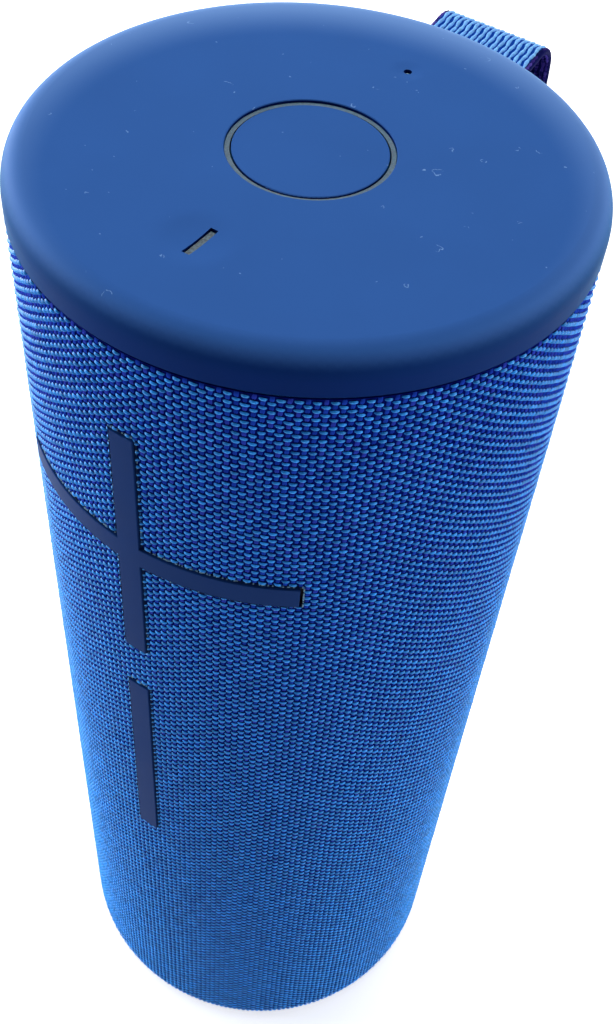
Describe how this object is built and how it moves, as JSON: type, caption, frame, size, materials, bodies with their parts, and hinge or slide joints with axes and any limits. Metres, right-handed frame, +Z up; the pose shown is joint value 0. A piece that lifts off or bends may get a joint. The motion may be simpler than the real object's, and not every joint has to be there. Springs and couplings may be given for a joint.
{
  "type": "portable party speaker",
  "caption": "Upright cylindrical battery speaker with a woven sleeve, rubber cap with a press button, raised volume marks and a webbing carry loop.",
  "frame": {"origin": "centre of the base, on the surface the speaker stands on", "axes": "+Z up along the cylinder; -Y is the front, with the volume marks; +Y is the back, with the carry loop and the charging socket"},
  "size_m": [0.087, 0.1037, 0.225],
  "materials": {
    "cap_rubber": "soft matte blue silicone",
    "mark_rubber": "satin navy rubber",
    "sleeve_fabric": "plain weave, azure weft over navy and violet warp",
    "strap_webbing": "ribbed azure and navy webbing",
    "light_guide": "translucent grey-green",
    "base_rubber": "matte navy rubber",
    "seal_rubber": "matte black rubber",
    "black_plastic": "moulded, fine grain",
    "grille_plastic": "moulded, perforated",
    "circuit_board": "solder mask over glass epoxy",
    "switch_plastic": "moulded",
    "plunger_plastic": "moulded",
    "led_resin": "clear resin",
    "ribbon_film": "polyimide film",
    "bright_steel": "tinned sheet",
    "screw_steel": "black zinc",
    "can_aluminium": "satin",
    "contact_gold": "gold plated",
    "cell_wrap": "shrink-wrapped metal can",
    "driver_steel": "satin black",
    "magnet_nickel": "nickel plated",
    "cone_pulp": "pressed pulp",
    "radiator_plate": "moulded, weighted"
  },
  "bodies": {
    "housing": {"acoustic_chamber": "black_plastic", "base_cap": "base_rubber", "base_frame": "black_plastic", "battery_cell_front": "cell_wrap", "battery_cell_rear": "cell_wrap", "battery_holder": "black_plastic", "board_capacitors": "can_aluminium", "board_ribbon": "ribbon_film", "button_board": "circuit_board", "chamber_lid": "black_plastic", "charge_contact_pin": "contact_gold", "charge_contact_ring": "contact_gold", "driver_frame_left": "driver_steel", "driver_frame_right": "driver_steel", "driver_magnet_left": "magnet_nickel", "driver_magnet_right": "magnet_nickel", "driver_surround_left": "seal_rubber", "driver_surround_right": "seal_rubber", "driver_yoke_left": "driver_steel", "driver_yoke_right": "driver_steel", "fabric_sleeve": "sleeve_fabric", "grille_shell": "grille_plastic", "housing_screws": "screw_steel", "lid_gasket": "seal_rubber", "light_ring": "light_guide", "main_board": "circuit_board", "port_bezel": "base_rubber", "radiator_frame_left": "driver_steel", "radiator_frame_right": "driver_steel", "radiator_surround_left": "seal_rubber", "radiator_surround_right": "seal_rubber", "ring_leds": "led_resin", "shield_can": "bright_steel", "small_screws": "screw_steel", "strap_anchor": "black_plastic", "strap_loop": "strap_webbing", "top_cap": "cap_rubber", "top_frame": "black_plastic", "top_switch_housings": "switch_plastic", "usb_board": "circuit_board", "usb_socket": "bright_steel", "volume_board": "circuit_board", "volume_switch_housings": "switch_plastic"},
    "action_button_unit": {"action_button": "cap_rubber", "action_switch_plunger": "plunger_plastic"},
    "power_key_unit": {"power_key": "light_guide", "power_switch_plunger": "plunger_plastic"},
    "pairing_key_unit": {"pairing_key": "light_guide", "pairing_switch_plunger": "plunger_plastic"},
    "volume_up_unit": {"volume_up_button": "mark_rubber", "volume_up_plunger": "plunger_plastic"},
    "volume_down_unit": {"volume_down_button": "mark_rubber", "volume_down_plunger": "plunger_plastic"},
    "cone_right": {"driver_cone_right": "cone_pulp", "driver_dust_cap_right": "cone_pulp"},
    "cone_left": {"driver_cone_left": "cone_pulp", "driver_dust_cap_left": "cone_pulp"},
    "radiator_right": {"radiator_plate_right": "radiator_plate"},
    "radiator_left": {"radiator_plate_left": "radiator_plate"}
  },
  "joints": [
    {"name": "action_button_press", "type": "slide", "parent": "housing", "child": "action_button_unit", "axis": [0, 0, -1], "range_m": [0, 0.0005], "stiffness_N_per_m": 3000},
    {"name": "power_key_press", "type": "slide", "parent": "housing", "child": "power_key_unit", "axis": [0, 0, -1], "range_m": [0, 0.00035], "stiffness_N_per_m": 3000},
    {"name": "pairing_key_press", "type": "slide", "parent": "housing", "child": "pairing_key_unit", "axis": [0, 0, -1], "range_m": [0, 0.00035], "stiffness_N_per_m": 3000},
    {"name": "volume_up_press", "type": "slide", "parent": "housing", "child": "volume_up_unit", "axis": [0, 1, 0], "range_m": [0, 0.0006], "stiffness_N_per_m": 3000},
    {"name": "volume_down_press", "type": "slide", "parent": "housing", "child": "volume_down_unit", "axis": [0, 1, 0], "range_m": [0, 0.0006], "stiffness_N_per_m": 3000},
    {"name": "cone_right_travel", "type": "slide", "parent": "housing", "child": "cone_right", "axis": [1, 0, 0], "range_m": [-0.002, 0.002], "stiffness_N_per_m": 900, "deforming": ["driver_surround_right"]},
    {"name": "radiator_right_travel", "type": "slide", "parent": "housing", "child": "radiator_right", "axis": [1, 0, 0], "range_m": [-0.003, 0.003], "stiffness_N_per_m": 900, "deforming": ["radiator_surround_right"]},
    {"name": "cone_left_travel", "type": "slide", "parent": "housing", "child": "cone_left", "axis": [-1, 0, 0], "range_m": [-0.002, 0.002], "stiffness_N_per_m": 900, "deforming": ["driver_surround_left"]},
    {"name": "radiator_left_travel", "type": "slide", "parent": "housing", "child": "radiator_left", "axis": [-1, 0, 0], "range_m": [-0.003, 0.003], "stiffness_N_per_m": 900, "deforming": ["radiator_surround_left"]}
  ]
}
